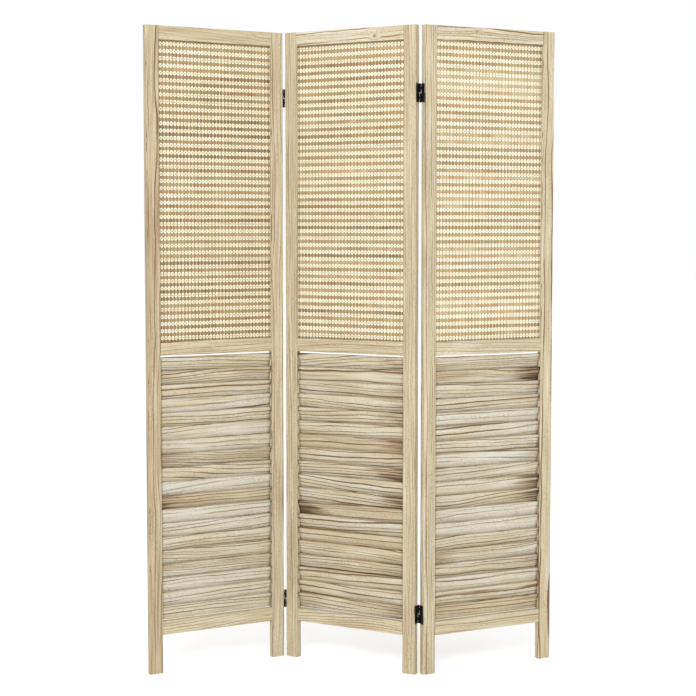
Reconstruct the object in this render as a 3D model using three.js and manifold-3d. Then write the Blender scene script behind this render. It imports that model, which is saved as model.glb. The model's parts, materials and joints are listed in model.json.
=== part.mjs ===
// Folding room divider screen: three framed panels joined by two folds.
//
// Each panel has two stiles that run down to the floor as legs, three rails tenoned
// into them, a woven mat in the upper opening and a bank of fixed louvre slats in the
// lower one. Four double-acting hinges join the panels. Each hinge has two leaves on
// the facing stile ends and two links, one above the other. The upper link is pinned to
// the left leaf in front and to the right leaf behind, the lower link the other way
// round, so that a fold turns about the front pins or about the back pins.
//
// Millimetres, +Z up, front of the screen towards -Y, origin on the floor at the middle
// of the folded screen's footprint. The screen stands in a zigzag: the left fold is
// turned about its front pins and the right fold about its back pins.

import * as THREE from 'three';
import { mergeVertices } from 'three/addons/utils/BufferGeometryUtils.js';
import Module from 'manifold-3d';

const wasm = await Module();
wasm.setup();

// ---------------------------------------------------------------- driving sizes

// Panels
const panelHeight = 1700;
const panelWidth = 400;
const panelThickness = 18;
const panelGap = 6; // between two stile ends when a fold is laid flat

// How each panel is turned from the line of the screen, in degrees
const leftPanelTurn = 31;
const middlePanelTurn = 30;
const rightPanelTurn = 28;

// Frame
const stileWidth = 36;
const railHeight = 36;
const legHeight = 102; // floor to the underside of the bottom rail
const middleRailTop = 880;
const easedEdge = 1;
const tenonLength = 20;
const tenonThickness = 7;
const clearance = 0.3; // between any two pieces that meet

// Woven mat
const matThickness = 5.2;
const matEdgeThickness = 4; // pressed thinner where it sits in its grooves
const matGrooveDepth = 6;

// Louvre slats
const slatWidth = 41;
const slatThickness = 4.5;
const slatPitch = 36.6;
const slatInset = 1.5; // from the faces of the panel to the edges of the slats
const slatEndGap = 0.6; // from a slat's end to the stile
const topSlit = 4; // open line between the middle rail and the first slat
const bottomSlit = 2;
const stripWidth = 6; // the strip that holds the slat ends, in a groove of the stile
const stripBite = 1; // how far the strip reaches over the slat ends
const stripGrooveDepth = 3.3;

// Hinges
const hingeHeight = 48;
const hingeBelowTop = 174; // top of the panel to the middle of the upper hinge
const hingeAboveFloor = 160; // floor to the middle of the lower hinge
const halfSplit = 2.4; // between a hinge's upper and lower halves
const leafThickness = 1.2;
const linkThickness = 1.2;
const knuckleRadius = 2.1;
const pinRadius = 0.9;
const pinProud = 1; // pin axis in front of, or behind, the faces of the panel
const rivetRadius = 1.5;
const rivetThickness = 0.6;
const screwHoleRadius = 1.7;
const screwInset = 5; // from the leaf's ends and edges to a screw
const linkWindowHeight = 8;
const linkWindowWidth = 9;

// Sides of the faceted round parts
const barrelSides = 10;
const boreSides = 8;

// ---------------------------------------------------------------- derived sizes

const openingWidth = panelWidth - 2 * stileWidth;
const bottomRailTop = legHeight + railHeight;
const middleRailBottom = middleRailTop - railHeight;
const topRailBottom = panelHeight - railHeight;
const tenonShoulder = matGrooveDepth + 1;

const pinDepth = panelThickness / 2 + pinProud; // pin axis from the panel's middle plane
const boreRadius = pinRadius + clearance;
const halfHeight = (hingeHeight - halfSplit) / 2;
const knuckleHeight = (halfHeight - 2 * clearance) / 3;
const plateHalfDepth = pinDepth - knuckleRadius;
const leafOuter = panelGap / 2 - clearance; // from the middle of the gap
const leafInner = leafOuter - leafThickness;
const hingeCentres = { upper: panelHeight - hingeBelowTop, lower: hingeAboveFloor };

const degrees = Math.PI / 180;

// ---------------------------------------------------------------- materials

const paulownia = new THREE.MeshStandardMaterial({ color: '#d9c6a3', roughness: 0.7, metalness: 0 });
const slatWood = new THREE.MeshStandardMaterial({ color: '#cdb78f', roughness: 0.72, metalness: 0 });
const wovenReed = new THREE.MeshStandardMaterial({ color: '#e0cfa6', roughness: 0.65, metalness: 0 });
const blackMetal = new THREE.MeshStandardMaterial({ color: '#1b1a19', roughness: 0.45, metalness: 0.6 });

// ---------------------------------------------------------------- solids

function toSolid(geometry) {
  geometry.deleteAttribute('normal');
  geometry.deleteAttribute('uv');
  const merged = mergeVertices(geometry, 1e-5);
  return new wasm.Manifold(new wasm.Mesh({
    numProp: 3,
    vertProperties: new Float32Array(merged.attributes.position.array),
    triVerts: new Uint32Array(merged.index.array),
  }));
}

function toGeometry(solid) {
  const { numProp, vertProperties, triVerts } = solid.getMesh();
  const geometry = new THREE.BufferGeometry();
  geometry.setAttribute('position', new THREE.BufferAttribute(vertProperties, numProp));
  geometry.setIndex(new THREE.BufferAttribute(triVerts, 1));
  const faceted = geometry.toNonIndexed();
  faceted.computeVertexNormals();
  return faceted;
}

// A box between two limits on each axis.
function block([x0, x1], [y0, y1], [z0, z1]) {
  const geometry = new THREE.BoxGeometry(x1 - x0, y1 - y0, z1 - z0);
  geometry.translate((x0 + x1) / 2, (y0 + y1) / 2, (z0 + z1) / 2);
  return toSolid(geometry);
}

const around = (middle, size) => [middle - size / 2, middle + size / 2];

// A bar of the panel's thickness with eased long edges, standing along Z.
function easedBar(width, length) {
  const x = width / 2;
  const y = panelThickness / 2;
  const e = easedEdge;
  const section = new THREE.Shape([
    new THREE.Vector2(x - e, -y), new THREE.Vector2(x, e - y),
    new THREE.Vector2(x, y - e), new THREE.Vector2(x - e, y),
    new THREE.Vector2(e - x, y), new THREE.Vector2(-x, y - e),
    new THREE.Vector2(-x, e - y), new THREE.Vector2(e - x, -y),
  ]);
  return new THREE.ExtrudeGeometry(section, { depth: length, bevelEnabled: false });
}

// An upright round rod or hole.
function rod(radius, x, y, [z0, z1], sides) {
  const geometry = new THREE.CylinderGeometry(radius, radius, z1 - z0, sides);
  geometry.rotateX(Math.PI / 2);
  geometry.translate(x, y, (z0 + z1) / 2);
  return toSolid(geometry);
}

const joined = (solids) => solids.reduce((sum, solid) => sum.add(solid));

function piece(name, solid, material) {
  const mesh = new THREE.Mesh(toGeometry(solid), material);
  mesh.name = name;
  return mesh;
}

// ---------------------------------------------------------------- panel frame
// A panel's own frame: X from its left edge to its right edge, Y = 0 at its middle
// plane, Z from the floor.

const rails = {
  top_rail: topRailBottom,
  middle_rail: middleRailBottom,
  bottom_rail: legHeight,
};

const tenonSpan = (railBottom) => [railBottom + tenonShoulder, railBottom + railHeight - tenonShoulder];
const widened = ([low, high], by) => [low - by, high + by];

// A stile; inward is the direction from it towards the panel's middle.
function stile(side) {
  const left = side === 'left';
  const inward = left ? 1 : -1;
  const inner = left ? stileWidth : panelWidth - stileWidth;
  const cut = (depth, width, zSpan) => {
    const far = inner - inward * depth;
    const near = inner + inward;
    return block([Math.min(far, near), Math.max(far, near)], around(0, width), zSpan);
  };
  const bar = easedBar(stileWidth, panelHeight);
  bar.translate(inner - inward * stileWidth / 2, 0, 0);
  let solid = toSolid(bar);
  for (const railBottom of Object.values(rails)) {
    const span = widened(tenonSpan(railBottom), clearance);
    solid = solid.subtract(cut(tenonLength + clearance, tenonThickness + 2 * clearance, span));
  }
  const matGroove = widened([middleRailTop, topRailBottom], matGrooveDepth);
  solid = solid.subtract(cut(matGrooveDepth, matEdgeThickness + 2 * clearance, matGroove));
  const stripGroove = [bottomRailTop, middleRailBottom];
  return solid.subtract(cut(stripGrooveDepth, stripWidth + 2 * clearance, stripGroove));
}

function rail(kind) {
  const bottom = rails[kind];
  const length = openingWidth - 2 * clearance;
  const bar = easedBar(railHeight, length);
  bar.rotateY(Math.PI / 2);
  bar.translate(stileWidth + clearance, 0, bottom + railHeight / 2);
  const tenons = block(
    [stileWidth - tenonLength, panelWidth - stileWidth + tenonLength],
    around(0, tenonThickness),
    tenonSpan(bottom),
  );
  const groove = (zSpan) => block([0, panelWidth], around(0, matEdgeThickness + 2 * clearance), zSpan);
  const solid = toSolid(bar).add(tenons);
  if (kind === 'top_rail') return solid.subtract(groove([bottom - 1, bottom + matGrooveDepth]));
  if (kind === 'middle_rail') {
    return solid.subtract(groove([middleRailTop - matGrooveDepth, middleRailTop + 1]));
  }
  return solid;
}

// ---------------------------------------------------------------- woven mat

// A flat field that fills the opening, with a thinner edge held in grooves all round.
function wovenMat() {
  const tongue = matGrooveDepth - clearance;
  const edge = block(
    widened([stileWidth, panelWidth - stileWidth], tongue),
    around(0, matEdgeThickness),
    widened([middleRailTop, topRailBottom], tongue),
  );
  const field = block(
    widened([stileWidth, panelWidth - stileWidth], -clearance),
    around(0, matThickness),
    widened([middleRailTop, topRailBottom], -clearance),
  );
  return edge.add(field);
}

// ---------------------------------------------------------------- louvres

// The slats lean with their top edges forward. Their lean fills the panel's thickness
// but for the inset on each face.
const slatRoom = panelThickness - 2 * slatInset;
const slatDiagonal = Math.hypot(slatWidth, slatThickness);
const slatLean = Math.asin(slatRoom / slatDiagonal) - Math.atan(slatThickness / slatWidth);
const slatRise = slatWidth * Math.cos(slatLean) + slatThickness * Math.sin(slatLean);

function leaningSlat([x0, x1], z) {
  const board = new THREE.BoxGeometry(x1 - x0, slatThickness, slatWidth);
  board.rotateX(slatLean);
  board.translate((x0 + x1) / 2, 0, z);
  return toSolid(board);
}

// All the slats of one panel, joined at their ends by the two thin strips that sit in
// the grooves of the stiles.
function louvreBank() {
  const firstTop = middleRailBottom - topSlit;
  const travel = firstTop - slatRise - bottomRailTop - bottomSlit;
  const spaces = Math.round(travel / slatPitch);
  const pitch = travel / spaces;
  const span = widened([stileWidth, panelWidth - stileWidth], -slatEndGap);
  const middles = Array.from({ length: spaces + 1 }, (_, slat) => firstTop - slatRise / 2 - slat * pitch);
  const stripX = [clearance - stripGrooveDepth, slatEndGap + stripBite];
  const stripZ = widened([bottomRailTop, middleRailBottom], -clearance);
  const strips = [
    block(stripX.map((x) => stileWidth + x), around(0, stripWidth), stripZ),
    block(stripX.map((x) => panelWidth - stileWidth - x).reverse(), around(0, stripWidth), stripZ),
  ];
  return joined([...strips, ...middles.map((z) => leaningSlat(span, z))]);
}

// ---------------------------------------------------------------- hinges
// A hinge's own frame: X = 0 in the middle of the gap between two panels laid flat,
// Y = 0 at their middle plane, Z = 0 at the middle of the hinge.

const halves = {
  upper: [halfSplit / 2, halfSplit / 2 + halfHeight],
  lower: [-halfSplit / 2 - halfHeight, -halfSplit / 2],
};

// The three stacked knuckles of a half: link, leaf, link.
function knuckleSpan(half, index) {
  const start = halves[half][0] + index * (knuckleHeight + clearance);
  return [start, start + knuckleHeight];
}

// The pin of each leaf in each half, as a direction along Y: -1 in front, 1 behind.
const pinSide = {
  left: { upper: -1, lower: 1 },
  right: { upper: 1, lower: -1 },
};

function hingeLeaf(side) {
  const away = side === 'left' ? -1 : 1;
  const sorted = (a, b) => [Math.min(a, b), Math.max(a, b)];
  const plateX = sorted(away * leafInner, away * leafOuter);
  let solid = block(plateX, [-plateHalfDepth, plateHalfDepth], around(0, hingeHeight));
  for (const half of ['upper', 'lower']) {
    const pinY = pinSide[side][half] * pinDepth;
    const span = knuckleSpan(half, 1);
    const root = pinSide[side][half] * (plateHalfDepth - leafThickness);
    const web = block(sorted(away * boreRadius, away * leafOuter), sorted(root, pinY), span);
    solid = solid.add(web).add(rod(knuckleRadius, 0, pinY, span, barrelSides));
    solid = solid.subtract(rod(boreRadius, 0, pinY, widened(span, 1), boreSides));
  }
  for (const y of [screwInset - plateHalfDepth, plateHalfDepth - screwInset]) {
    for (const z of [screwInset - hingeHeight / 2, hingeHeight / 2 - screwInset]) {
      const hole = new THREE.CylinderGeometry(screwHoleRadius, screwHoleRadius, panelGap, boreSides);
      hole.rotateZ(Math.PI / 2);
      hole.translate(away * panelGap / 2, y, z);
      solid = solid.subtract(toSolid(hole));
    }
  }
  return solid;
}

function hingeLink(half) {
  const middle = (halves[half][0] + halves[half][1]) / 2;
  const plate = block(around(0, linkThickness), [-pinDepth, pinDepth], halves[half]);
  const window = block(around(0, panelGap), around(0, linkWindowWidth), around(middle, linkWindowHeight));
  const leafRoom = 2 * (knuckleRadius + 2 * clearance);
  const leafSpan = widened(knuckleSpan(half, 1), clearance);
  let solid = plate.subtract(window);
  for (const pinY of [-pinDepth, pinDepth]) {
    solid = solid.add(rod(knuckleRadius, 0, pinY, halves[half], barrelSides));
    solid = solid.subtract(block(around(0, leafRoom), around(pinY, leafRoom), leafSpan));
    solid = solid.subtract(rod(boreRadius, 0, pinY, widened(halves[half], 1), boreSides));
  }
  return solid;
}

// A riveted pin with a thin head beyond each end of its half.
function hingePin(half, face) {
  const [z0, z1] = widened(halves[half], clearance);
  const profile = [
    [0, z0 - rivetThickness], [rivetRadius, z0 - rivetThickness], [rivetRadius, z0],
    [pinRadius, z0], [pinRadius, z1],
    [rivetRadius, z1], [rivetRadius, z1 + rivetThickness], [0, z1 + rivetThickness],
  ];
  const lathe = new THREE.LatheGeometry(profile.map(([r, z]) => new THREE.Vector2(r, z)), boreSides);
  lathe.rotateX(Math.PI / 2);
  lathe.translate(0, face * pinDepth, 0);
  return toSolid(lathe);
}

// ---------------------------------------------------------------- assembly

const screen = new THREE.Group();

const panels = {};
for (const panelName of ['left', 'middle', 'right']) {
  const panel = new THREE.Group();
  for (const side of ['left', 'right']) {
    panel.add(piece(`${panelName}_panel_${side}_stile`, stile(side), paulownia));
  }
  for (const kind of Object.keys(rails)) {
    panel.add(piece(`${panelName}_panel_${kind}`, rail(kind), paulownia));
  }
  panel.add(piece(`${panelName}_panel_woven_mat`, wovenMat(), wovenReed));
  panel.add(piece(`${panelName}_panel_louvres`, louvreBank(), slatWood));
  panels[panelName] = panel;
  screen.add(panel);
}

// Each fold's active pins are in front on the left fold and behind on the right one.
// The lower links move with the outer panels and the upper links with the middle one.
const folds = {
  left: { leftPanel: 'left', rightPanel: 'middle', upperOn: 'right', lowerOn: 'left' },
  right: { leftPanel: 'middle', rightPanel: 'right', upperOn: 'left', lowerOn: 'right' },
};

for (const [foldName, fold] of Object.entries(folds)) {
  for (const [level, height] of Object.entries(hingeCentres)) {
    const prefix = `${foldName}_fold_${level}_hinge`;
    const mounts = {
      left: { panel: panels[fold.leftPanel], x: panelWidth + panelGap / 2 },
      right: { panel: panels[fold.rightPanel], x: -panelGap / 2 },
    };
    const add = (side, name, solid) => {
      const mesh = piece(`${prefix}_${name}`, solid, blackMetal);
      mesh.position.set(mounts[side].x, 0, height);
      mounts[side].panel.add(mesh);
    };
    add('left', 'left_leaf', hingeLeaf('left'));
    add('right', 'right_leaf', hingeLeaf('right'));
    for (const [half, carrier] of [['upper', fold.upperOn], ['lower', fold.lowerOn]]) {
      add(carrier, `${half}_link`, hingeLink(half));
      add(carrier, `${half}_front_pin`, hingePin(half, -1));
      add(carrier, `${half}_back_pin`, hingePin(half, 1));
    }
  }
}

// The middle panel turns about its own middle, and each outer panel hangs on its fold's
// active pins.
const turned = (x, y, angle) => new THREE.Vector2(x, y).rotateAround(new THREE.Vector2(), angle * degrees);

function placePanel(panel, angle, panelPoint, worldPoint) {
  const arm = turned(...panelPoint, angle);
  panel.rotation.z = angle * degrees;
  panel.position.set(worldPoint.x - arm.x, worldPoint.y - arm.y, 0);
}

const pastRight = panelWidth + panelGap / 2;
const pastLeft = -panelGap / 2;
const fromMiddle = (x, y) => turned(x - panelWidth / 2, y, -middlePanelTurn);

placePanel(panels.middle, -middlePanelTurn, [panelWidth / 2, 0], new THREE.Vector2());
placePanel(panels.left, leftPanelTurn, [pastRight, -pinDepth], fromMiddle(pastLeft, -pinDepth));
placePanel(panels.right, rightPanelTurn, [pastLeft, pinDepth], fromMiddle(pastRight, pinDepth));

// Bring the middle of the footprint to the origin.
const footprint = new THREE.Box3().setFromObject(screen, true);
const middle = footprint.getCenter(new THREE.Vector3());
for (const panel of Object.values(panels)) {
  panel.position.x -= middle.x;
  panel.position.y -= middle.y;
}

export default screen;
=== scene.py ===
# %% [markdown]
# # A folding screen of three panels
# The screen stands in a zigzag. Each panel is a frame of pale paulownia wood with a woven
# reed mat above and a bank of leaning slats below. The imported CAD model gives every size
# and place, so it is loaded first and nothing in it moves. Stiles, rails and hinges keep
# their CAD shapes and get real finishes. The mats and the slats are made again here, strand
# by strand and board by board, because their looks depend on each one being a little
# different.

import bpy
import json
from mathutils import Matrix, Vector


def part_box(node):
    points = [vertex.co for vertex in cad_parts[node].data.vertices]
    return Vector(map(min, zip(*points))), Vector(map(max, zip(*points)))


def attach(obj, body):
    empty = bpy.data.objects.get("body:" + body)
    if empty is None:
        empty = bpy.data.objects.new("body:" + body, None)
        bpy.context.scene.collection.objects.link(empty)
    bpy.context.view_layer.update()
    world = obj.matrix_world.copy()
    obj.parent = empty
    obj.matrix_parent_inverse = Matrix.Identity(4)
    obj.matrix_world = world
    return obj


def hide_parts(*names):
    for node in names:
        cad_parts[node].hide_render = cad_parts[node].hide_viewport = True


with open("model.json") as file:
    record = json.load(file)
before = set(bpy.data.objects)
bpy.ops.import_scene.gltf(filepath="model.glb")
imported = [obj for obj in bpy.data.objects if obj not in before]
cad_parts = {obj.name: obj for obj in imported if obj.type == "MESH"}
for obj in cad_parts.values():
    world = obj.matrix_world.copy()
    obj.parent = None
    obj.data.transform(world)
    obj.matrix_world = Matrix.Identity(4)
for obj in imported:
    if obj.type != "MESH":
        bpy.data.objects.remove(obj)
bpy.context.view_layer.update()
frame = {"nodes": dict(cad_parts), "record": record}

# %% Tools
import json
import math

import bmesh
import bpy
import numpy as np
from mathutils import Matrix, Vector

MM = 0.001
chance = np.random.default_rng(31)

# %% [markdown]
# ## Where the panels stand
# Every panel is turned about the upright, so its boards are hard to place in the screen's
# own axes. Each panel gets axes of its own: X along the panel, Y to its back and Z up,
# from the point on the floor midway between its feet. The feet are named in the record,
# so the turn is read from there and never typed in.

# %% A panel's own axes
feet = {mount["name"]: Vector(mount["pos_m"]) for mount in frame["record"]["mounts"]}


class Panel:
    """One panel, with the way from its own axes to the screen's and back."""

    def __init__(self, name):
        self.name = name
        left, right = feet[f"{name}_left_foot"], feet[f"{name}_right_foot"]
        step = right - left
        self.turn = math.atan2(step.y, step.x)
        middle = Matrix.Translation((left + right) / 2)
        self.to_screen = middle @ Matrix.Rotation(self.turn, 4, "Z")
        self.to_panel = self.to_screen.inverted()

    def span(self, part):
        """Lowest and highest corner of one of the panel's CAD parts, in the panel's axes."""
        corners = frame["nodes"][f"{self.name}_{part}"].data.vertices
        places = np.array([self.to_panel @ corner.co for corner in corners])
        return Vector(places.min(0)), Vector(places.max(0))


panels = {name: Panel(name) for name in ("left_panel", "middle_panel", "right_panel")}
for panel in panels.values():
    print(panel.name, "turned", round(math.degrees(panel.turn), 2), "degrees")

# %% [markdown]
# ## Camera and light
# The screen is seen from straight ahead and a little above its middle, through a long
# lens, so its uprights stay nearly parallel. A white world gives even light from all
# sides, as a studio with white walls does. One large soft lamp in front adds just enough
# direction to draw the edges of the slats and the strands of the mats.

# %% Camera
def put_in_scene(name, data):
    made = bpy.data.objects.new(name, data)
    bpy.context.scene.collection.objects.link(made)
    return made


camera = put_in_scene("camera", bpy.data.cameras.new("camera"))
camera.location = (0.0316, -4.5341, 1.1860)
camera.rotation_euler = (math.radians(90 - 4.138), 0, math.radians(0.55))
camera.data.lens = 88.1
camera.data.clip_start, camera.data.clip_end = 0.1, 60
bpy.context.scene.camera = camera
print("camera", round(camera.location.length, 2), "m from the middle of the floor")

# %% White world and one soft lamp
bpy.context.scene.view_settings.view_transform = "Standard"
world = bpy.data.worlds.new("white_studio")
bpy.context.scene.world = world
world.use_nodes = True
background = world.node_tree.nodes["Background"]
background.inputs["Color"].default_value = (1, 1, 1, 1)
background.inputs["Strength"].default_value = 1.0

lamp = put_in_scene("soft_lamp", bpy.data.lights.new("soft_lamp", "AREA"))
lamp.data.shape, lamp.data.size, lamp.data.size_y = "RECTANGLE", 3.0, 1.6
lamp.data.energy = 175
lamp.location = (-0.6, -5.2, 3.3)
lit_point = Vector((0, 0, 0.9))
lamp.rotation_euler = (lit_point - lamp.location).to_track_quat("-Z", "Y").to_euler()
print("lamp of", lamp.data.energy, "W, size", lamp.data.size, "m")

# %% [markdown]
# ## Writing finishes as sums
# Wood and reed are built up from a few patterns that are added, multiplied and mixed.
# Linking dozens of Math nodes by hand hides the idea, so a small class wraps one socket
# and lets it be used in ordinary sums. Every other node comes from one method.

# %% Sockets that can be added and multiplied
class Wire:
    """A value in a finish. Sums on it become Math nodes."""

    def __init__(self, finish, socket):
        self.finish, self.socket = finish, socket

    def maths(self, operation, *values):
        return self.finish.node("Math", {"operation": operation}, dict(enumerate(values)))

    def other(self, output):
        """Another output of the same node."""
        return Wire(self.finish, self.socket.node.outputs[output])

    def __add__(self, more):
        return self.maths("ADD", self, more)

    def __sub__(self, less):
        return self.maths("SUBTRACT", self, less)

    def __rsub__(self, start):
        return self.maths("SUBTRACT", start, self)

    def __mul__(self, times):
        return self.maths("MULTIPLY", self, times)

    def __truediv__(self, parts):
        return self.maths("DIVIDE", self, parts)

    def __pow__(self, power):
        return self.maths("POWER", self, power)

    __radd__, __rmul__ = __add__, __mul__

    def fraction(self):
        return self.maths("FRACT", self)

    def whole(self):
        return self.maths("FLOOR", self)

    def between(self, low, high):
        """0 below low, 1 above high, and smooth in between. With low above high it falls."""
        settings = {"interpolation_type": "SMOOTHSTEP"}
        return self.finish.node(
            "MapRange", settings, {"Value": self, "From Min": low, "From Max": high}
        )


class Finish:
    """One material, built node by node."""

    def __init__(self, name, **constants):
        self.material = bpy.data.materials.new(name)
        self.material.use_nodes = True
        self.tree = self.material.node_tree
        self.shader = self.tree.nodes["Principled BSDF"]
        for socket, value in constants.items():
            name = socket.replace("_", " ").title().replace("Ior", "IOR")
            self.shader.inputs[name].default_value = value

    def node(self, kind, settings, inputs, output=0):
        made = self.tree.nodes.new("ShaderNode" + kind)
        for setting, value in settings.items():
            if setting == "stops":
                self.set_stops(made.color_ramp, value)
            else:
                setattr(made, setting, value)
        for socket, value in inputs.items():
            if isinstance(value, Wire):
                self.tree.links.new(value.socket, made.inputs[socket])
            else:
                made.inputs[socket].default_value = value
        return Wire(self, made.outputs[output])

    def set_stops(self, ramp, stops):
        for place, colour in stops[1:-1]:
            ramp.elements.new(place).color = colour
        for end, (place, colour) in ((0, stops[0]), (-1, stops[-1])):
            ramp.elements[end].position, ramp.elements[end].color = place, colour

    def vector(self, x, y, z):
        return self.node("CombineXYZ", {}, {"X": x, "Y": y, "Z": z})

    def parts(self, vector):
        x = self.node("SeparateXYZ", {}, {"Vector": vector})
        return x, x.other("Y"), x.other("Z")

    def noise(self, x, y, z, detail=2.0, roughness=0.5):
        """Soft noise from 0 to 1. x, y and z are in lumps, so a stretched lump is a streak."""
        inputs = {"Vector": self.vector(x, y, z), "Scale": 1.0}
        return self.node("TexNoise", {}, inputs | {"Detail": detail, "Roughness": roughness})

    def mix(self, amount, under, over, how="MIX"):
        """Colours only: over is laid on under by amount."""
        settings = {"data_type": "RGBA", "blend_type": how}
        return self.node("Mix", settings, {0: amount, 6: under, 7: over}, output=2)

    def stored(self, name, output="Vector"):
        """A value that was written on the mesh."""
        return self.node("Attribute", {"attribute_name": name}, {}, output=output)

    def wear(self, height, depth, strength):
        """Height from 0 to 1 becomes relief of that depth in metres."""
        inputs = {"Height": height, "Distance": depth, "Strength": strength}
        self.drive("Normal", self.node("Bump", {}, inputs))

    def drive(self, socket, wire):
        self.tree.links.new(wire.socket, self.shader.inputs[socket])


# %% [markdown]
# ## Paulownia wood
# Paulownia is pale and light, with wide growth rings. Each ring starts with a row of large
# pores that collect dust and dark finish, so a ring shows as a brown line with one sharp
# side and one that fades. A flat board cuts the rings at an angle: nearly parallel lines
# near its edges, and pointed arches where the cut comes close to the heart of the tree.
# A picture of wood would stretch and repeat. Here the rings are real cylinders round the
# heart of a tree, cut by the board's own position in it, so that every face and edge of a
# board shows the same rings.

# %% One board cut from the tree
def cut_board(finish, along, across, through, heart, slope, ring, seed, bulge):
    """Ring pattern of a board. heart is how far off the heart of the tree lies, across and
    through the board, slope how far it runs off per metre, ring the width of a ring, and
    bulge how many rings a knot pushes aside."""
    drift = finish.noise(along * 2.4 + seed, across * 8, through * 8, detail=1) - 0.5
    sway = finish.noise(along * 11 + seed * 1.7, across * 30, through * 30, detail=2) - 0.5
    side = across - heart[0] - along * slope[0] + drift * 0.030 + sway * 0.0075
    deep = through - heart[1] - along * slope[1] + drift * 0.012
    count = (side * side + deep * deep) ** 0.5 / ring + bulge
    count = count + (finish.noise(count * 0.45, seed, 0, detail=0) - 0.5) * 2.6
    kind = finish.node("TexWhiteNoise", {"noise_dimensions": "1D"}, {"W": count.whole() + seed})
    return count, kind


def fibres(finish, along, across, through, seed):
    """Fine lines of fibre, and the short dark pores between them."""
    lines = finish.noise(along * 9 + seed, across * 900, through * 900, detail=3, roughness=0.65)
    pores = finish.noise(along * 190, across * 620 + seed, through * 620, detail=2, roughness=0.6)
    return lines, pores.between(0.50, 0.66)


# %% Colours of paulownia
WOOD_TONES = [
    (0.0, (0.225, 0.140, 0.068, 1)),
    (0.22, (0.340, 0.252, 0.140, 1)),
    (0.45, (0.446, 0.368, 0.235, 1)),
    (0.75, (0.545, 0.474, 0.325, 1)),
    (1.0, (0.585, 0.560, 0.475, 1)),
]
# This brown draws the ring lines and knots, and also the painted shade line along the slats' top
# edges.
RING_AND_SHADE_BROWN = (0.150, 0.076, 0.026, 1)
PORE_BROWN = (0.200, 0.120, 0.052, 1)
SCORCHED = (0.215, 0.120, 0.050, 1)
BURNT = (0.046, 0.025, 0.012, 1)


def plain_wood(
    finish, along, across, through, heart, slope, ring, seed, tone, figure, bulge=0.0
):
    """Colour of a bare board, and its ring and fibre patterns for what is added later.
    tone runs from 0, brown, to 1, chalky, and figure says how strongly the rings show."""
    count, kind = cut_board(finish, along, across, through, heart, slope, ring, seed, bulge)
    place = count.fraction()
    lines, pores = fibres(finish, along, across, through, seed)
    cloud = finish.noise(along * 3.4 + seed * 2, across * 30, through * 30, detail=2.5) - 0.5
    streak = finish.noise(along * 6 + seed * 3, across * 230, through * 230, detail=2.5) - 0.5
    place_tone = cloud * 0.6 + streak * 1.2 + tone
    colour = finish.node("ValToRGB", {"stops": WOOD_TONES}, {"Fac": place_tone})
    fade = finish.noise(along * 6 + seed, across * 60, through * 60, detail=1.5).between(0.32, 0.62)
    edge = place.between(0.74, 0.97) + place * 0.08
    line = edge * (0.22 + kind * 0.78) * (0.35 + fade * 0.65)
    minor = (count * 2.63).fraction().between(0.60, 0.95) * 0.11
    line = (line + minor * fade) * figure
    colour = finish.mix(line.between(-0.12, 0.85), colour, RING_AND_SHADE_BROWN)
    early = (1 - place).between(0.35, 1.0)
    patchy = finish.noise(along * 8, across * 70 + seed, through * 70, detail=1).between(0.35, 0.65)
    colour = finish.mix(pores * (0.10 + early * 0.12 + patchy * 0.42), colour, PORE_BROWN)
    shade = lines.between(0.25, 0.75) * 0.24 + 0.90
    grey = finish.node("CombineColor", {}, {0: shade, 1: shade, 2: shade})
    colour = finish.mix(1.0, colour, grey, how="MULTIPLY")
    return colour, line, lines, pores


# %% [markdown]
# ## Stiles and rails
# These boards are exactly the CAD shapes, so the CAD nodes stay and only get a finish.
# Every board comes from another place in another tree, which seeded numbers choose. What
# a maker would notice is listed: how brown or chalky each board is, how strongly its
# rings show, and the small knots in three of the rails. A knot is made by pushing the
# rings aside round a dark spot, as a branch does in a tree.

# %% Finish of one frame board
def panel_places(finish, panel):
    """Object coordinates turned into the panel's own axes, in metres."""
    back = panel.to_panel
    spot = finish.node("TexCoord", {}, {}, output="Object")
    inputs = {"Vector": spot, "Location": back.translation, "Rotation": (0, 0, -panel.turn)}
    return finish.parts(finish.node("Mapping", {"vector_type": "POINT"}, inputs))


def frame_board(panel, part, upright, tone, figure):
    finish = Finish(f"{panel.name}_{part}_wood", roughness=0.6)
    low, high = panel.span(part)
    x, y, z = panel_places(finish, panel)
    x, z = x - (low.x + high.x) / 2, z - (low.z + high.z) / 2
    along, across = (z, x) if upright else (x, z)
    heart = (chance.choice([-1, 1]) * chance.uniform(0.03, 0.08), chance.uniform(0.01, 0.05))
    slope = (chance.uniform(-0.010, 0.010), chance.uniform(-0.02, 0.02))
    if not upright:
        slope = (chance.uniform(-0.05, 0.05), chance.uniform(-0.05, 0.05))
    ring, seed = chance.uniform(0.0045, 0.0065), chance.uniform(10, 90)
    bulge, dark = 0.0, 0.0
    for knot_along, knot_across, radius in KNOTS.get((panel.name, part), []):
        off_along, off_across = (along - knot_along) / 1.7, across - knot_across
        away = (off_along * off_along + off_across * off_across) ** 0.5
        bulge = away.between(radius * 3.2, 0.0) * 2.2 + bulge
        dark = away.between(radius * 1.1, radius * 0.3) * 0.75 + dark
    colour, line, lines, pores = plain_wood(
        finish, along, across, y, heart, slope, ring, seed, tone, figure, bulge
    )
    if (panel.name, part) in KNOTS:
        colour = finish.mix(dark, colour, RING_AND_SHADE_BROWN)
    finish.drive("Base Color", colour)
    finish.drive("Roughness", 0.50 + lines * 0.2 + pores * 0.1)
    finish.wear(lines * 0.5 - line * 0.4 - pores * 0.5, 0.4 * MM, 0.5)
    return finish.material


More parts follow.
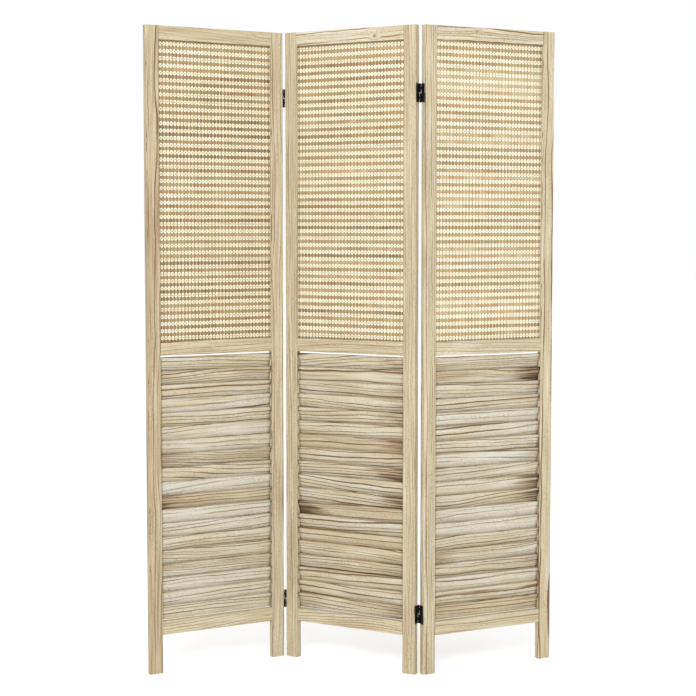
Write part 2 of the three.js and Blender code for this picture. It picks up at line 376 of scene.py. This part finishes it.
# %% Boards of the frames
# Tone from brown to chalky, and how strongly the rings show.
FRAME_BOARDS = {
    "left_panel": {
        "left_stile": (0.40, 1.6), "right_stile": (0.62, 1.3), "top_rail": (0.52, 0.7),
        "middle_rail": (0.68, 1.5), "bottom_rail": (0.66, 1.5),
    },
    "middle_panel": {
        "left_stile": (0.60, 1.8), "right_stile": (0.54, 1.0), "top_rail": (0.84, 0.9),
        "middle_rail": (0.66, 2.0), "bottom_rail": (0.70, 1.8),
    },
    "right_panel": {
        "left_stile": (0.70, 2.6), "right_stile": (0.60, 1.2), "top_rail": (0.72, 2.0),
        "middle_rail": (0.74, 1.6), "bottom_rail": (0.62, 1.5),
    },
}

# Knots, from the middle of the board: (along it, across it, radius).
KNOTS = {
    ("middle_panel", "top_rail"): [(77 * MM, -5 * MM, 4.5 * MM)],
    ("right_panel", "top_rail"): [(-43 * MM, 8 * MM, 3.5 * MM)],
    ("right_panel", "middle_rail"): [
        (-80 * MM, 13 * MM, 1.6 * MM), (-20 * MM, 13 * MM, 1.6 * MM),
    ],
}


def give_finish(thing, material):
    thing.data.materials.clear()
    thing.data.materials.append(material)


for panel in panels.values():
    for part, (tone, figure) in FRAME_BOARDS[panel.name].items():
        material = frame_board(panel, part, part.endswith("stile"), tone, figure)
        give_finish(frame["nodes"][f"{panel.name}_{part}"], material)
print("boards in the frames:", sum(len(boards) for boards in FRAME_BOARDS.values()))

# %% [markdown]
# ## Making pieces
# New pieces are drawn in a panel's own axes and then moved to where the panel stands. They
# ride on the CAD body of the panel, so they turn with it when the screen folds.

# %% A mesh piece on a panel
def add_piece(name, mesh, panel, material, stands_for=()):
    mesh.transform(panel.to_screen)
    mesh.materials.append(material)
    piece = put_in_scene(name, mesh)
    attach(piece, panel.name)
    if stands_for:
        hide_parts(*stands_for)
    return piece


def write_on_mesh(mesh, name, values):
    """Stores one vector for each vertex, for a finish to read."""
    stored = mesh.attributes.new(name, "FLOAT_VECTOR", "POINT")
    stored.data.foreach_set("vector", np.asarray(values, np.float32).ravel())


# %% A tube of rings, closed at both ends
def closed_tube(name, places, inside_out=False):
    """A mesh through places, which is rings x points x 3."""
    rings, count = places.shape[:2]
    walls = [
        (i * count + j, i * count + k, (i + 1) * count + k, (i + 1) * count + j)
        for i in range(rings - 1)
        for j, k in zip(range(count), [*range(1, count), 0])
    ]
    if inside_out:
        walls = [wall[::-1] for wall in walls]
    first, last = tuple(range(count))[::-1], tuple(range((rings - 1) * count, rings * count))
    mesh = bpy.data.meshes.new(name)
    mesh.from_pydata(places.reshape(-1, 3).tolist(), [], walls + [first, last])
    return mesh


# %% [markdown]
# ## The slats
# A slat is a thin board, 41 mm wide, that leans with its top edge forward. The wood was
# scorched with a flame and brushed: the hard lines of the grain went brown, some ends went
# nearly black, and other places stayed chalky white. One long extruded profile would look
# like a machine part, so each slat is its own mesh, a little bowed, and carries its place
# in the tree, its tone and its burns as values on the mesh. One finish reads them.

# %% Sizes of the slats
slat_width, slat_thickness = 41 * MM, 4.5 * MM
top_slit, bottom_slit = 4 * MM, 2 * MM
slat_count = 19
bank_depth = 15 * MM
slat_end_gap = 0.6 * MM
slat_half_length = panels["middle_panel"].span("right_stile")[0].x - slat_end_gap
diagonal = math.hypot(slat_width, slat_thickness)
slat_lean = math.asin(bank_depth / diagonal) - math.atan2(slat_thickness, slat_width)
slat_rise = slat_width * math.cos(slat_lean) + slat_thickness * math.sin(slat_lean)
print("slats lean", round(math.degrees(slat_lean), 2), "degrees")


# %% One slat
def slat_profile(across_steps=9, round_steps=3, radius=1.1 * MM):
    """Points round the end of a slat: (up its width, through its thickness)."""
    half_w, half_t = slat_width / 2, slat_thickness / 2
    flat = np.linspace(-half_w + radius, half_w - radius, across_steps)
    points = [(w, -half_t) for w in flat]
    inner_w, inner_t = half_w - radius, half_t - radius

    def corner(centre_w, centre_t, start, first=1):
        turns = np.linspace(start, start + 90, round_steps + 1)[first:]
        angles = [math.radians(turn) for turn in turns]
        return [(centre_w + radius * math.cos(a), centre_t + radius * math.sin(a)) for a in angles]

    points += corner(inner_w, -inner_t, -90) + corner(inner_w, inner_t, 0, first=0)
    points += [(w, half_t) for w in flat[::-1][1:]]
    points += corner(-inner_w, inner_t, 90) + corner(-inner_w, -inner_t, 180)
    return np.array(points[:-1])


def slat_mesh(name, x0, x1, middle_z, steps=29, end_ease=0.4 * MM):
    """The slat, and where each of its points is in the board."""
    profile = slat_profile()
    stations = np.linspace(x0, x1, steps)
    # The first of three draws is the bow. The other two only keep the later draws in step.
    bow = chance.uniform(-0.25, 0.25, 3)[0] * MM
    share = (stations - x0) / (x1 - x0)
    belly = np.sin(math.pi * share)
    twist = (share - 0.5) * chance.uniform(-0.006, 0.006)
    lean = slat_lean + twist
    rings = np.zeros((steps, len(profile), 3))
    for i, x in enumerate(stations):
        squeeze = end_ease if i in (0, steps - 1) else 0.0
        w = profile[:, 0] - np.sign(profile[:, 0]) * squeeze
        t = profile[:, 1] - np.sign(profile[:, 1]) * squeeze + bow * belly[i]
        rings[i, :, 0] = x
        rings[i, :, 1] = -w * math.sin(lean[i]) + t * math.cos(lean[i])
        rings[i, :, 2] = middle_z + w * math.cos(lean[i]) + t * math.sin(lean[i])
    mesh = closed_tube(name, rings)
    mesh.shade_smooth()
    fibre = np.zeros_like(rings)
    fibre[:, :, 0] = stations[:, None]
    fibre[:, :, 1:] = profile[None, :, :]
    return mesh, fibre.reshape(-1, 3)


# %% [markdown]
# ## Scorched wood
# A flame is carried along a slat and the soft wood is brushed out, so the burn is ragged,
# runs along the fibres and is darkest on the hard lines. Painting it on each slat would
# take 57 finishes. Here one finish makes the plain wood first and then lays two browns on
# it, by as much as the burn values on the mesh say. The top edge gets a thin brown line of
# its own, which is painted shade for the dark gap between it and the slat above.

# %% Finish of the slats
BURN_REACH = 0.12  # how far a burnt end fades out along the slat, in metres


def slat_finish():
    finish = Finish("scorched_paulownia", roughness=0.6)
    along, across, through = finish.parts(finish.stored("fibre"))
    heart_across, heart_through, slope = finish.parts(finish.stored("heart"))
    tone, ring, seed = finish.parts(finish.stored("board"))
    burn_left, burn_right, burn_all = finish.parts(finish.stored("burn"))
    figure = finish.stored("figure", output="Fac")
    colour, line, lines, pores = plain_wood(
        finish, along, across, through, (heart_across, heart_through),
        (slope, slope * 0.5), ring, seed, tone, figure,
    )
    flame = finish.noise(along * 9 + seed, across * 90, through * 90, detail=3)
    ragged = (flame - 0.5) * 0.20
    left = (along + slat_half_length + ragged).between(BURN_REACH, 0.0) * burn_left
    right = (slat_half_length - along + ragged).between(BURN_REACH, 0.0) * burn_right
    everywhere = burn_all * flame.between(0.25, 0.65)
    burn = left + right + everywhere
    # Painted shade: a thin brown line along the top edge of each slat stands for the shadow in the
    # gap between the slats.
    painted_gap_line = across.between(slat_width / 2 - 1.7 * MM, slat_width / 2 - 0.5 * MM)
    colour = finish.mix(painted_gap_line * (0.2 + flame * 0.45), colour, RING_AND_SHADE_BROWN)
    streaks = finish.noise(along * 5 + seed, across * 260, through * 260, detail=2.5)
    streaks = streaks.between(0.30, 0.65)
    colour = finish.mix((burn * (0.35 + streaks * 0.6)).between(0.0, 0.95), colour, SCORCHED)
    colour = finish.mix((burn * streaks + line * burn * 0.7).between(0.42, 1.35), colour, BURNT)
    finish.drive("Base Color", colour)
    finish.drive("Roughness", 0.50 + lines * 0.2)
    finish.wear(lines * 0.5 - line * 0.6 - pores * 0.5, 0.5 * MM, 0.6)
    return finish.material


# The slats' finish carries the scorch marks and also the painted shade line along each top edge.
scorch_and_painted_shade = slat_finish()

# %% Which board was taken for each slat
# From the top slat down. Each kind is (tone, how strongly the rings show, width of a ring).
KINDS = {
    "chalky": (0.96, 1.5, 14 * MM), "pale": (0.87, 2.3, 13 * MM), "plain": (0.83, 2.9, 11 * MM),
    "tan": (0.62, 2.7, 10 * MM), "striped": (0.83, 3.6, 7.5 * MM),
}
BOARDS = {
    "left_panel": "plain striped pale pale plain chalky pale striped pale chalky "
    "tan chalky chalky pale plain striped chalky chalky pale",
    "middle_panel": "striped pale striped plain plain plain tan plain striped plain "
    "plain tan plain tan plain striped plain plain striped",
    "right_panel": "striped striped pale plain chalky pale plain chalky plain pale "
    "striped chalky chalky plain striped plain chalky pale tan",
}

# %% Burns that a maker would notice
# Slats are counted from the top. Each entry is (left end, right end, whole board).
BURNS = {
    "left_panel": {
        1: (0.3, 0.1, 0.1), 7: (0.35, 0.25, 0.35), 10: (0.8, 0.2, 0.25), 14: (0.2, 0.1, 0.15),
    },
    "middle_panel": {
        0: (0.1, 0.5, 0.1), 2: (0.1, 0.5, 0.1), 3: (0.1, 0.6, 0.0), 4: (0.1, 0.6, 0.1),
        6: (0.1, 0.8, 0.1), 8: (0.1, 1.1, 0.2), 10: (0.0, 1.0, 0.1), 11: (1.2, 0.2, 0.15),
        13: (0.1, 0.2, 0.2), 15: (0.1, 0.5, 0.15), 18: (0.2, 0.6, 0.2),
    },
    "right_panel": {
        0: (0.25, 0.3, 0.1), 1: (0.2, 1.3, 0.35), 2: (0.0, 0.5, 0.0), 3: (0.0, 0.4, 0.1),
        4: (0.0, 0.4, 0.0), 7: (0.0, 0.5, 0.0), 9: (0.0, 1.0, 0.0), 10: (0.1, 0.9, 0.2),
        14: (0.5, 0.0, 0.0), 15: (0.0, 0.5, 0.1), 18: (0.1, 0.2, 0.2),
    },
}

# %% What the finish reads from a board
def describe_board(mesh, fibre, heart, board, burn, figure):
    """fibre has one place for each point, and the rest is the same all over the board."""
    write_on_mesh(mesh, "fibre", fibre)
    whole = {"heart": heart, "board": board, "burn": burn, "figure": (figure,) * 3}
    for name, value in whole.items():
        write_on_mesh(mesh, name, [value] * len(mesh.vertices))


# %% Make the banks of slats
slats_made = 0
for panel in panels.values():
    left_edge = panel.span("left_stile")[1].x + slat_end_gap
    right_edge = panel.span("right_stile")[0].x - slat_end_gap
    ceiling = panel.span("middle_rail")[0].z
    ground = panel.span("bottom_rail")[1].z
    first_top = ceiling - top_slit
    pitch = (first_top - slat_rise - ground - bottom_slit) / (slat_count - 1)
    for row, kind in enumerate(BOARDS[panel.name].split()):
        name = f"{panel.name}_slat_{row + 1:02d}"
        middle_z = first_top - slat_rise / 2 - row * pitch
        mesh, fibre = slat_mesh(name, left_edge, right_edge, middle_z)
        heart = (
            chance.choice([-1, 1]) * chance.uniform(0.03, 0.11),
            chance.uniform(0.0, 0.05),
            chance.uniform(-0.06, 0.06),
        )
        tone, figure, ring = KINDS[kind]
        tone, ring = tone + chance.uniform(-0.04, 0.04), ring * chance.uniform(0.85, 1.15)
        board = (tone, ring, chance.uniform(5, 60))
        slight = chance.uniform(0, 0.3, 3) * (1, 1, 0.25)
        burn = np.maximum(slight, BURNS[panel.name].get(row, (0, 0, 0)))
        describe_board(mesh, fibre, heart, board, burn, figure)
        slat = add_piece(name, mesh, panel, scorch_and_painted_shade, [f"{panel.name}_louvres"])
        smooth = slat.modifiers.new("even_light", "WEIGHTED_NORMAL")
        smooth.keep_sharp = True
        slats_made += 1
print("slats:", slats_made, "at", round(pitch / MM, 2), "mm")

# %% [markdown]
# ## The strips that hold the slat ends
# The ends of the slats are held by a thin upright strip in a groove of each stile. Little
# of it shows, so a plain box would nearly do, but sharp edges catch no light and look
# drawn. The box gets eased long edges, and it takes the slats' finish with no burns.

# %% Strips that hold the slat ends
strip_in_groove, strip_showing, strip_half_deep = 3 * MM, 1.6 * MM, 3 * MM
strip_end_gap, strip_ease = 0.3 * MM, 0.5 * MM


def eased_board(name, low, high, ease, lengths=11):
    """A board from corner to corner with its long edges cut off a little."""
    made = bmesh.new()
    bmesh.ops.create_cube(made, size=1)
    size, middle = high - low, (low + high) / 2
    stretch = Matrix.Translation(middle) @ Matrix.Diagonal((*size, 1))
    bmesh.ops.transform(made, matrix=stretch, verts=made.verts)
    ends = [(edge, *edge.verts) for edge in made.edges]
    upright = [edge for edge, a, b in ends if abs(a.co.z - b.co.z) > size.z / 2]
    bmesh.ops.bevel(made, geom=upright, offset=ease, segments=2, affect="EDGES")
    for height in np.linspace(low.z, high.z, lengths + 1)[1:-1]:
        everything = made.verts[:] + made.edges[:] + made.faces[:]
        bmesh.ops.bisect_plane(made, geom=everything, plane_co=(0, 0, height), plane_no=(0, 0, 1))
    mesh = bpy.data.meshes.new(name)
    made.to_mesh(mesh)
    made.free()
    return mesh


strips_made = 0
for panel in panels.values():
    left_edge, right_edge = panel.span("left_stile")[1].x, panel.span("right_stile")[0].x
    ceiling, ground = panel.span("middle_rail")[0].z, panel.span("bottom_rail")[1].z
    for side, edge, inward in (("left", left_edge, 1), ("right", right_edge, -1)):
        name = f"{panel.name}_{side}_slat_strip"
        xs = sorted((edge - strip_in_groove * inward, edge + strip_showing * inward))
        low = Vector((xs[0], -strip_half_deep, ground + strip_end_gap))
        high = Vector((xs[1], strip_half_deep, ceiling - strip_end_gap))
        mesh = eased_board(name, low, high, strip_ease)
        spots = [vertex.co for vertex in mesh.vertices]
        fibre = [(spot.z - 0.5, spot.x - edge, spot.y) for spot in spots]
        board = (0.7, 6 * MM, 12 + strips_made)
        describe_board(mesh, fibre, (0.05, 0.02, 0.01), board, (0, 0, 0), 1)
        add_piece(name, mesh, panel, scorch_and_painted_shade, [f"{panel.name}_louvres"])
        strips_made += 1
print("strips:", strips_made)

# %% [markdown]
# ## The woven mats
# The mat is a plain weave on upright strings of split cane, 5 mm apart, a pale one and a
# darker one in turn; the darker tone is painted shade for the shadow between the beads.
# Three thin peeled reeds and then one wide flat reed with its brown skin are woven across,
# over one string and under the next. The peeled reeds make two rows of bright beads with a
# plain row between them, and the flat reed makes a brown band that the strings cross.
# Painted bands would lose the beads and their small shadows, so every strand is a real tube
# that goes over and under.

# %% Sizes of the weave
string_pitch = 5 * MM
rows_of_weave = 42
mat_opening = 784 * MM  # from the middle rail up to the top rail
mat_in_groove = 6 * MM
row_height = mat_opening / rows_of_weave
reed_step = 3.35 * MM
flat_reach = 3.4 * MM  # from the middle of a flat reed to where a string leaves it
strand_end_gap = 0.3 * MM
# How far the middle of a strand goes to the front and to the back.
peeled_lift, flat_lift, string_lift = 0.88 * MM, 0.52 * MM, 0.5 * MM
# Half the width and half the depth of a strand.
peeled_section, flat_section = (1.62 * MM, 0.85 * MM), (4.4 * MM, 0.42 * MM)
string_section = (1.0 * MM, 0.42 * MM)
# How wide a strand is where it goes under a string, and where it goes over one.
SWELL = {
    "upper": (0.42, 1.20), "centre": (0.68, 0.88), "lower": (0.42, 1.20), "flat": (0.86, 1.10),
}
print("weave rows of", round(row_height / MM, 2), "mm")


# %% A bundle of strands as one mesh
def strand_bundle(name, paths, half_wide, half_deep, wide_axis, swell, sides=6, flatness=1.0):
    """paths is strands x points x 3. Every strand is a tube with an oval section, and swell
    says how much wider it is at each point. A flatness below 1 squares the oval."""
    strands, points = paths.shape[:2]
    turn = np.arange(sides) * 2 * math.pi / sides
    wide = np.sign(np.cos(turn)) * np.abs(np.cos(turn)) ** flatness
    deep = np.sign(np.sin(turn)) * np.abs(np.sin(turn)) ** flatness
    section = np.zeros((sides, 3))
    section[:, wide_axis] = wide
    size = half_wide * chance.uniform(0.95, 1.05, (strands, 1, 1, 1)) * swell[None, :, None, None]
    places = paths[:, :, None, :] + section * size
    places[:, :, :, 1] += deep * half_deep
    index = np.arange(strands * points * sides).reshape(strands, points, sides)
    nxt = np.roll(index, -1, axis=2)
    walls = np.stack([index[:, :-1], nxt[:, :-1], nxt[:, 1:], index[:, 1:]], axis=-1)
    walls = walls.reshape(-1, 4)
    if wide_axis == 2:
        walls = walls[:, ::-1]
    mesh = bpy.data.meshes.new(name)
    mesh.from_pydata(places.reshape(-1, 3).tolist(), [], walls.tolist())
    mesh.shade_smooth()
    run = 2 - wide_axis
    fibre = np.zeros((strands, points, sides, 3))
    fibre[..., 0] = paths[:, :, None, run] + chance.uniform(0, 40, (strands, 1, 1))
    fibre[..., 1] = section[:, wide_axis] * half_wide
    fibre[..., 2] = chance.uniform(0, 1, (strands, 1, 1))
    write_on_mesh(mesh, "fibre", fibre.reshape(-1, 3))
    return mesh


# %% [markdown]
# ## Reed and cane
# Peeled reed is the colour of straw, reed with its skin left on is brown, and the strings
# are cane, every second one darker as painted shade for the shadow between the beads. One
# colour for each would look like plastic, because every strand is lighter or darker than
# the next and changes along its length. So a strand's own number, which is written on its
# mesh, picks its place on a ramp of colours, slow noise moves it along the strand, and fine
# lines run with the fibres.

# %% Finishes of reed and cane
PEELED_TONES = [
    (0.0, (0.46, 0.36, 0.20, 1)), (0.25, (0.66, 0.55, 0.35, 1)),
    (0.5, (0.80, 0.72, 0.50, 1)), (0.75, (0.88, 0.82, 0.62, 1)),
    (1.0, (0.91, 0.89, 0.76, 1)),
]
BROWN_TONES = [
    (0.0, (0.140, 0.080, 0.032, 1)), (0.25, (0.225, 0.145, 0.058, 1)),
    (0.45, (0.300, 0.190, 0.078, 1)), (0.62, (0.310, 0.232, 0.100, 1)),
    (0.8, (0.410, 0.262, 0.120, 1)), (1.0, (0.480, 0.380, 0.215, 1)),
]
STRING_TONES = [
    (0.0, (0.20, 0.145, 0.07, 1)), (0.5, (0.38, 0.30, 0.165, 1)), (1.0, (0.66, 0.57, 0.38, 1)),
]
GREEN_TINT = (0.80, 0.98, 0.84, 1)
PINK_TINT = (1.0, 0.86, 0.78, 1)


def reed_finish(name, tones, tone, spread, roughness, streak):
    """tone is the middle of the colours and spread how far one reed may be from the next."""
    finish = Finish(name, roughness=roughness)
    along, across, own = finish.parts(finish.stored("fibre"))
    stretch = finish.noise(along * 7, own * 50, 0, detail=2) - 0.5
    patch = finish.noise(along * 45, own * 80, 3, detail=2) - 0.5
    lines = finish.noise(along * 20, across * 3800, own * 30, detail=2)
    place = (own - 0.5) * spread + stretch * 0.9 + patch * 0.7 + (lines - 0.5) * streak + tone
    colour = finish.node("ValToRGB", {"stops": tones}, {"Fac": place})
    hue = finish.noise(along * 11, own * 70, 9, detail=1)
    colour = finish.mix(hue.between(0.50, 0.75) * 0.8, colour, PINK_TINT, how="MULTIPLY")
    colour = finish.mix(hue.between(0.48, 0.25) * 0.7, colour, GREEN_TINT, how="MULTIPLY")
    finish.drive("Base Color", colour)
    finish.drive("Roughness", roughness - 0.08 + lines * 0.16)
    finish.wear(lines, 0.2 * MM, 0.4)
    return finish.material


# The mats differ from panel to panel, partly in their own colour and partly as painted shade
# for how each panel is turned to the light: (peeled reed, brown reed, pale string, darker
# string with painted shade).
MAT_TONES_AND_SHADE = {
    "left_panel": (0.74, 0.42, 0.62, 0.28),
    "middle_panel": (0.84, 0.50, 0.72, 0.30),
    "right_panel": (0.88, 0.74, 0.82, 0.38),
}
reed_finishes = {}
for panel_name, (peeled, brown, pale_string, dull_string) in MAT_TONES_AND_SHADE.items():
    recipes = {
        "peeled": ("peeled_reed", PEELED_TONES, peeled, 0.35, 0.36, 0.2),
        "centre": ("middle_peeled_reed", PEELED_TONES, peeled - 0.32, 0.35, 0.36, 0.2),
        "brown": ("brown_reed", BROWN_TONES, brown, 0.50, 0.46, 0.4),
        "even": ("pale_string", STRING_TONES, pale_string, 0.3, 0.5, 0.3),
        # Every second string is darker: painted shade for the shadow between the beads.
        "odd": ("dull_string", STRING_TONES, dull_string, 0.3, 0.5, 0.3),
    }
    reed_finishes[panel_name] = {
        kind: reed_finish(f"{panel_name}_{name}", *rest)
        for kind, (name, *rest) in recipes.items()
    }
print("finishes of reed and cane:", sum(len(kinds) for kinds in reed_finishes.values()))


# %% [markdown]
# ## Weaving
# A loom holds the strings tight, and each reed bends over one string and under the next.
# Both bend a little in a real mat, and that keeps them from cutting through each other. The
# reeds are made first, row by row from the top, and each drifts up and down by less than
# half a millimetre, as by hand. The strings then take the opposite side at every crossing
# and swell into a bead where they lie over a peeled reed. All strands of one kind in a mat
# are one mesh, because hundreds of single objects would be slow to handle.

# %% Easy curves
def smooth_steps(places, heights, samples):
    """Heights at places, with an easy S-curve from each to the next."""
    slot = np.searchsorted(places, samples, side="right") - 1
    slot = np.clip(slot, 0, len(places) - 2)
    share = np.clip((samples - places[slot]) / (places[slot + 1] - places[slot]), 0, 1)
    ease = (1 - np.cos(share * math.pi)) / 2
    return heights[slot] * (1 - ease) + heights[slot + 1] * ease


# %% Reeds across the mat
# Where each kind lies from the middle of its row, and whether it passes over even strings.
OFFSETS = {"upper": reed_step, "centre": 0.0, "lower": -reed_step, "flat": -row_height / 2}
OVER_EVEN = {"upper": True, "centre": False, "lower": True, "flat": False}
drift_points = 9


def weave_reeds(panel, kind, strings, even, run, rows):
    flat = kind == "flat"
    lift = flat_lift if flat else peeled_lift
    wave = smooth_steps(strings, np.where(even == OVER_EVEN[kind], -lift, lift), run)
    over = np.where(even == OVER_EVEN[kind], 1.0, 0.0)
    pinched, full = SWELL[kind]
    swell = smooth_steps(strings, pinched + (full - pinched) * over, run)
    levels = rows + OFFSETS[kind]
    if flat:
        levels = np.concatenate([[rows[0] + row_height / 2], levels])
    paths = np.zeros((len(levels), len(run), 3))
    paths[:, :, 0] = run
    paths[:, :, 1] = wave
    drift = chance.uniform(-0.45, 0.45, (len(levels), drift_points)) * MM
    spots = np.linspace(run[0], run[-1], drift_points)
    paths[:, :, 2] = levels[:, None] + np.array([np.interp(run, spots, d) for d in drift])
    name = f"{panel.name}_{'brown_flat_reeds' if flat else kind + '_reeds'}"
    section, flatness = (flat_section, 0.55) if flat else (peeled_section, 1.0)
    mesh = strand_bundle(name, paths, *section, 2, swell, flatness=flatness)
    material = reed_finishes[panel.name][{"flat": "brown", "centre": "centre"}.get(kind, "peeled")]
    return add_piece(name, mesh, panel, material, [f"{panel.name}_woven_mat"])


# %% Where the strings cross the reeds
def string_crossings(rows):
    """Heights above the floor from the bottom up, the side of an even string there, 1 for
    the back and -1 for the front, and whether the reed is a peeled one."""
    reaches = [(kind, 0.0) for kind in ("upper", "centre", "lower")]
    reaches += [("flat", flat_reach), ("flat", -flat_reach)]
    crossings = [
        (row + (OFFSETS[kind] + reach), 1.0 if OVER_EVEN[kind] else -1.0, float(kind != "flat"))
        for row in rows
        for kind, reach in reaches
    ]
    return (np.array(column)[::-1] for column in zip(*crossings))


# %% Strings up the mat
def weave_strings(panel, which, strings, low, high, rows):
    crossings, heights, on_peeled = string_crossings(rows)
    side = 1 if which == "even" else -1
    middles = (crossings[1:] + crossings[:-1]) / 2
    knots = np.unique(np.concatenate([crossings, middles, [low.z, high.z]]))
    knots = np.clip(knots, low.z + strand_end_gap, high.z - strand_end_gap)
    wave = smooth_steps(crossings, heights * string_lift, knots)
    strings = strings[(strings > low.x + 1 * MM) & (strings < high.x - 1 * MM)]
    paths = np.zeros((len(strings), len(knots), 3))
    paths[:, :, 0] = strings[:, None] + chance.uniform(-0.2, 0.2, (len(strings), 1)) * MM
    paths[:, :, 1] = wave * side
    paths[:, :, 2] = knots
    beads = np.where(heights * side < 0, 1.0, 0.0) * on_peeled
    swell = smooth_steps(crossings, 1.05 + beads * 0.75, knots)
    name = f"{panel.name}_{which}_strings"
    mesh = strand_bundle(name, paths, *string_section, 0, swell, flatness=0.8)
    material = reed_finishes[panel.name][which]
    return add_piece(name, mesh, panel, material, [f"{panel.name}_woven_mat"])


# %% Weave the three mats
def weave_mat(panel):
    low, high = panel.span("woven_mat")
    centre_x, width = (low.x + high.x) / 2, high.x - low.x
    string_count = int(width / string_pitch) // 2 * 2 + 1
    strings = centre_x + (np.arange(string_count) - string_count // 2) * string_pitch
    even = np.arange(string_count) % 2 == 0
    run_points = int(width / string_pitch * 3)
    run = np.linspace(low.x + strand_end_gap, high.x - strand_end_gap, run_points)
    rows = high.z - mat_in_groove - (np.arange(rows_of_weave) + 0.5) * row_height
    made = [weave_reeds(panel, kind, strings, even, run, rows) for kind in OFFSETS]
    for which, of_these in (("even", even), ("odd", ~even)):
        made.append(weave_strings(panel, which, strings[of_these], low, high, rows))
    return made


for panel in panels.values():
    made = weave_mat(panel)
    print(panel.name, "mat:", {piece.name: len(piece.data.polygons) for piece in made})

# %% [markdown]
# ## The hinges
# The hinges are steel with a thin satin black paint. Pure black would swallow their shape,
# so the paint is a very dark brown black, its shine changes a little over the surface, and
# it is worn thin in small patches. The CAD model holds every leaf, link and pin, so they
# only get this finish.

# %% Black paint
PAINT_BLACK, PAINT_WORN = (0.006, 0.0055, 0.005, 1), (0.045, 0.036, 0.028, 1)


def black_paint():
    finish = Finish("satin_black_paint", specular_ior_level=0.25)
    spot = finish.node("TexCoord", {}, {}, output="Object")
    x, y, z = finish.parts(spot)
    grain = finish.noise(x * 900, y * 900, z * 900, detail=2)
    wear = finish.noise(x * 130, y * 130, z * 130, detail=3)
    colour = finish.mix(wear.between(0.60, 0.78), PAINT_BLACK, PAINT_WORN)
    finish.drive("Base Color", colour)
    finish.drive("Roughness", 0.34 + grain * 0.16)
    finish.wear(grain, 0.1 * MM, 0.4)
    return finish.material


black = black_paint()
painted = [node for name, node in frame["nodes"].items() if "hinge" in name]
for node in painted:
    give_finish(node, black)
print("painted parts of hinges:", len(painted))

# %% [markdown]
# ## Wood screws
# Four small black screws hold each leaf. They could be modelled as a head with a cross cut
# out of it, but a cut leaves ragged edges on a piece this small. Here the head is rings of
# points from its middle outwards, lifted into a low dome, and the points inside the cross
# are pushed down. The same rings go on inwards as the stem that sits in the wood.

# %% Wood screws of the hinges
screw_radius, screw_dome, recess = 2.4 * MM, 0.5 * MM, 0.32 * MM
leaf_face, screw_out, screw_up = 1.5 * MM, 2.9 * MM, 19 * MM
arm_half_wide, arm_reach = 0.13, 0.62  # of the cross, in shares of the head's radius
head_steps = np.array([0.02, 0.1, 0.2, 0.3, 0.4, 0.5, 0.6, 0.7, 0.8, 0.9, 1.0])
# The underside of the head and the stem: (how far out, share of the head's radius).
STEM = [(0.0, 1.0), (-0.3 * MM, 0.55), (-7 * MM, 0.5), (-9 * MM, 0.05)]


def screw_mesh(name, turn, spokes=40):
    """A low domed head with a cross cut in it and a short stem. X points out of the wood."""
    angles = np.arange(spokes) * 2 * math.pi / spokes
    rings = []
    for step in head_steps:
        u, v = step * np.cos(angles), step * np.sin(angles)
        height = 0.1 + 0.9 * np.sqrt(np.clip(1 - step**2, 0, 1))
        arms = np.minimum(np.abs(u), np.abs(v)) < arm_half_wide
        cut = np.where(arms & (step < arm_reach), recess, 0)
        rings.append((height * screw_dome - cut, u * screw_radius, v * screw_radius))
    for depth, share in STEM:
        reach = share * screw_radius
        rings.append((np.full(spokes, depth), reach * np.cos(angles), reach * np.sin(angles)))
    places = np.array(rings).transpose(0, 2, 1)
    mesh = closed_tube(name, places, inside_out=True)
    mesh.transform(Matrix.Rotation(turn, 4, "X"))
    mesh.shade_smooth()
    mesh.set_sharp_from_angle(angle=math.radians(40))
    return mesh


screws = 0
folds = {"left_fold": ("left_panel", "middle_panel"), "right_fold": ("middle_panel", "right_panel")}
for fold, (left_name, right_name) in folds.items():
    for level in ("upper", "lower"):
        low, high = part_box(f"{fold}_{level}_hinge_left_leaf")
        middle_z = (low[2] + high[2]) / 2
        for side, owner in (("left_leaf", left_name), ("right_leaf", right_name)):
            panel = panels[owner]
            if side == "left_leaf":
                outer, outward = panel.span("right_stile")[1].x, 1
            else:
                outer, outward = panel.span("left_stile")[0].x, -1
            for number, (y, z) in enumerate(((-1, 1), (1, 1), (-1, -1), (1, -1)), 1):
                name = f"{fold}_{level}_hinge_{side}_screw_{number}"
                mesh = screw_mesh(name, chance.uniform(0, 1.5))
                if outward < 0:
                    mesh.transform(Matrix.Rotation(math.pi, 4, "Z"))
                spot = Vector((outer + outward * leaf_face, y * screw_out, middle_z + z * screw_up))
                mesh.transform(Matrix.Translation(spot))
                add_piece(name, mesh, panel, black)
                screws += 1
print("screws:", screws)

# %% [markdown]
# ## The floor
# A white studio floor. A real one curves up into a wall behind the object. With a white
# world that isn't needed: a flat sheet that runs far past the view on every side shows no
# edge, and a little light of its own keeps it as white as the world, with only the soft
# shadow of the screen on it.

# %% Floor
floor_reach = 30.0
corners = [(x * floor_reach, y * floor_reach, 0) for x, y in ((-1, -1), (1, -1), (1, 1), (-1, 1))]
floor_mesh = bpy.data.meshes.new("floor")
floor_mesh.from_pydata(corners, [], [(0, 1, 2, 3)])
floor = put_in_scene("floor", floor_mesh)
white = Finish("white_floor", roughness=0.9)
white.shader.inputs["Base Color"].default_value = (0.86, 0.86, 0.86, 1)
white.shader.inputs["Emission Color"].default_value = (1, 1, 1, 1)
white.shader.inputs["Emission Strength"].default_value = 0.2
floor_mesh.materials.append(white.material)
print("floor of", 2 * floor_reach, "m")
